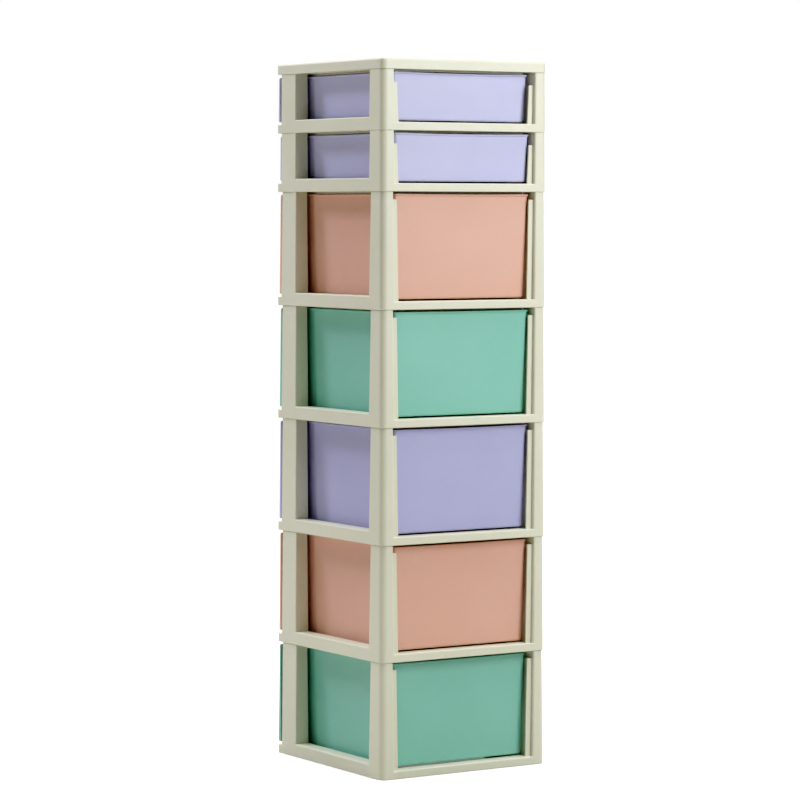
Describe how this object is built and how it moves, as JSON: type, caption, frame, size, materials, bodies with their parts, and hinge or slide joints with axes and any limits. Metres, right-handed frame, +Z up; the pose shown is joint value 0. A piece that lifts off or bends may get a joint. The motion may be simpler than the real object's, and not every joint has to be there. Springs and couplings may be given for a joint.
{
  "type": "plastic drawer tower",
  "caption": "Tall narrow tower of stacking open plastic frames with a flat cover, each frame holding a sliding box drawer with a finger pull.",
  "frame": {"origin": "on the floor, under the middle of the tower's box with every drawer as pictured", "axes": "+Z up, drawers pull out towards -Y, X from side to side"},
  "size_m": [0.298, 0.324, 1.08],
  "materials": {
    "cream_plastic": "satin moulded polypropylene",
    "lavender_plastic": "satin moulded polypropylene",
    "peach_plastic": "satin moulded polypropylene",
    "mint_plastic": "satin moulded polypropylene"
  },
  "bodies": {
    "root": {"top_cover": "cream_plastic", "frame_1": "cream_plastic", "frame_2": "cream_plastic", "frame_3": "cream_plastic", "frame_4": "cream_plastic", "frame_5": "cream_plastic", "frame_6": "cream_plastic", "frame_7": "cream_plastic"},
    "drawer_1": {"drawer_1": "lavender_plastic"},
    "drawer_2": {"drawer_2": "lavender_plastic"},
    "drawer_3": {"drawer_3": "peach_plastic"},
    "drawer_4": {"drawer_4": "mint_plastic"},
    "drawer_5": {"drawer_5": "lavender_plastic"},
    "drawer_6": {"drawer_6": "peach_plastic"},
    "drawer_7": {"drawer_7": "mint_plastic"}
  },
  "joints": [
    {"name": "drawer_1_slide", "type": "slide", "parent": "root", "child": "drawer_1", "axis": [0, -1, 0], "range_m": [-0.0045, 0.2005]},
    {"name": "drawer_2_slide", "type": "slide", "parent": "root", "child": "drawer_2", "axis": [0, -1, 0], "range_m": [0, 0.205]},
    {"name": "drawer_3_slide", "type": "slide", "parent": "root", "child": "drawer_3", "axis": [0, -1, 0], "range_m": [0, 0.205]},
    {"name": "drawer_4_slide", "type": "slide", "parent": "root", "child": "drawer_4", "axis": [0, -1, 0], "range_m": [0, 0.205]},
    {"name": "drawer_5_slide", "type": "slide", "parent": "root", "child": "drawer_5", "axis": [0, -1, 0], "range_m": [-0.0015, 0.2035]},
    {"name": "drawer_6_slide", "type": "slide", "parent": "root", "child": "drawer_6", "axis": [0, -1, 0], "range_m": [-0.0025, 0.2025]},
    {"name": "drawer_7_slide", "type": "slide", "parent": "root", "child": "drawer_7", "axis": [0, -1, 0], "range_m": [-0.0045, 0.2005]}
  ]
}
